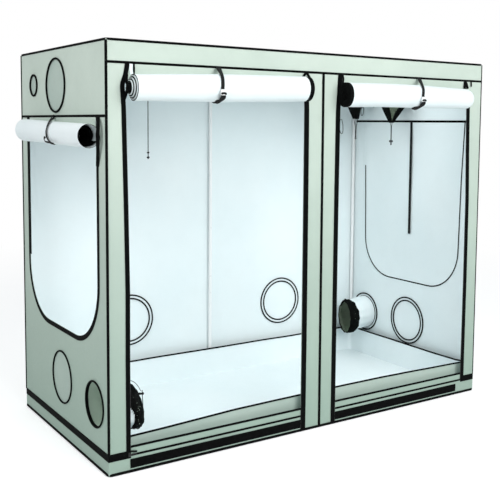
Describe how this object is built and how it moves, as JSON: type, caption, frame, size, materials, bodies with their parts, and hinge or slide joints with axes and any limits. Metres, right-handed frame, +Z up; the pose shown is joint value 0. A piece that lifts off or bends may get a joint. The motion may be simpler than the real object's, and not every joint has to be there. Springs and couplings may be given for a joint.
{
  "type": "indoor grow tent",
  "caption": "Free-standing indoor grow tent: cloth cover over a tube frame, rolled front and side doors, duct ports with sleeves, hanging bars and a floor tray.",
  "frame": {"origin": "centre of the footprint, on the floor under the floor sheet", "axes": "+X to the right along the front, +Y from the front to the back, +Z up; the front doorways face -Y"},
  "size_m": [2.5136, 1.332, 2],
  "materials": {
    "white_steel": "white powder coat",
    "black_metal": "black enamel",
    "black_plastic": "moulded",
    "white_plastic": "moulded",
    "grey_green_cloth": "coated woven cloth",
    "white_cloth": "white coated woven cloth",
    "black_cloth": "woven cloth",
    "black_webbing": "woven webbing",
    "black_cord": "braided cord"
  },
  "bodies": {
    "tent": {"corner_post_front_left": "white_steel", "corner_post_front_right": "white_steel", "middle_post_front": "white_steel", "corner_post_back_left": "white_steel", "corner_post_back_right": "white_steel", "middle_post_back": "white_steel", "top_rail_left": "white_steel", "top_rail_right": "white_steel", "top_rail_front_left": "white_steel", "top_rail_front_right": "white_steel", "top_rail_back": "white_steel", "bottom_rail_left": "white_steel", "bottom_rail_right": "white_steel", "bottom_rail_front_left": "white_steel", "bottom_rail_front_right": "white_steel", "bottom_rail_back": "white_steel", "top_rail_middle": "white_steel", "top_front_left_connector": "black_plastic", "top_front_middle_connector": "black_plastic", "top_front_right_connector": "black_plastic", "top_back_left_connector": "black_plastic", "top_back_middle_connector": "black_plastic", "top_back_right_connector": "black_plastic", "bottom_front_left_connector": "black_plastic", "bottom_front_middle_connector": "black_plastic", "bottom_front_right_connector": "black_plastic", "bottom_back_left_connector": "black_plastic", "bottom_back_middle_connector": "black_plastic", "bottom_back_right_connector": "black_plastic", "roof_panel": "grey_green_cloth", "back_wall": "grey_green_cloth", "left_wall": "grey_green_cloth", "right_wall": "grey_green_cloth", "front_wall": "grey_green_cloth", "floor_sheet": "black_cloth", "floor_tray": "white_cloth", "left_front_strap": "black_webbing", "left_front_lower_strap": "black_webbing", "right_front_strap": "black_webbing", "right_front_lower_strap": "black_webbing", "left_side_strap": "black_webbing", "right_large_sleeve": "black_cloth", "right_small_sleeve": "black_cloth", "right_low_sleeve": "white_cloth", "left_low_sleeve": "white_cloth", "right_large_drawstring": "black_cord", "right_small_drawstring": "black_cord", "left_tie_cord": "black_cord", "left_low_drawstring": "black_cord"},
    "hanging_bar_left": {"hanging_bar_left": "white_steel"},
    "hanging_bar_right": {"hanging_bar_right": "white_steel"},
    "left_front_door": {"left_front_door": "white_cloth"},
    "right_front_door": {"right_front_door": "white_cloth"},
    "left_side_door": {"left_side_door": "white_cloth"},
    "right_side_door": {"right_side_door": "white_cloth"},
    "left_front_buckle": {"left_front_buckle": "white_plastic"},
    "right_front_buckle": {"right_front_buckle": "white_plastic"},
    "right_door_strap": {"right_door_strap": "black_webbing"},
    "left_front_zip_slider": {"left_front_zip_slider": "black_metal"},
    "right_large_cord_lock": {"right_large_cord_lock": "black_plastic"}
  },
  "joints": [
    {"name": "left_front_door_unroll", "type": "slide", "parent": "tent", "child": "left_front_door", "axis": [0, 0, -1], "range_m": [0, 1.62], "deforming": ["left_front_lower_strap"]},
    {"name": "right_front_door_unroll", "type": "slide", "parent": "tent", "child": "right_front_door", "axis": [0, 0, -1], "range_m": [0, 1.62], "deforming": ["right_front_lower_strap"]},
    {"name": "left_side_door_unroll", "type": "slide", "parent": "tent", "child": "left_side_door", "axis": [0, 0, -1], "range_m": [0, 0.95], "deforming": ["left_side_strap"]},
    {"name": "right_side_door_lift", "type": "hinge", "parent": "tent", "child": "right_side_door", "pos_m": [1.2, 0, 1.6582], "axis": [0, -1, 0], "range_deg": [0, 110]},
    {"name": "right_door_strap_swing", "type": "hinge", "parent": "tent", "child": "right_door_strap", "pos_m": [1.19745, 0, 1.66], "axis": [0, 1, 0], "range_deg": [0, 60]},
    {"name": "left_hanging_bar_slide", "type": "slide", "parent": "tent", "child": "hanging_bar_left", "axis": [1, 0, 0], "range_m": [-0.5, 0.5]},
    {"name": "right_hanging_bar_slide", "type": "slide", "parent": "tent", "child": "hanging_bar_right", "axis": [1, 0, 0], "range_m": [-0.5, 0.5]},
    {"name": "left_front_zip_slide", "type": "slide", "parent": "tent", "child": "left_front_zip_slider", "axis": [0, 0, 1], "range_m": [0, 1.6]},
    {"name": "left_front_buckle_release", "type": "slide", "parent": "tent", "child": "left_front_buckle", "axis": [0, 0, 1], "range_m": [0, 0.024], "deforming": ["left_front_strap"]},
    {"name": "right_front_buckle_release", "type": "slide", "parent": "tent", "child": "right_front_buckle", "axis": [0, 0, 1], "range_m": [0, 0.024], "deforming": ["right_front_strap"]},
    {"name": "right_large_cord_lock_slide", "type": "slide", "parent": "tent", "child": "right_large_cord_lock", "axis": [0, 0, 1], "range_m": [0, 0.04]}
  ]
}
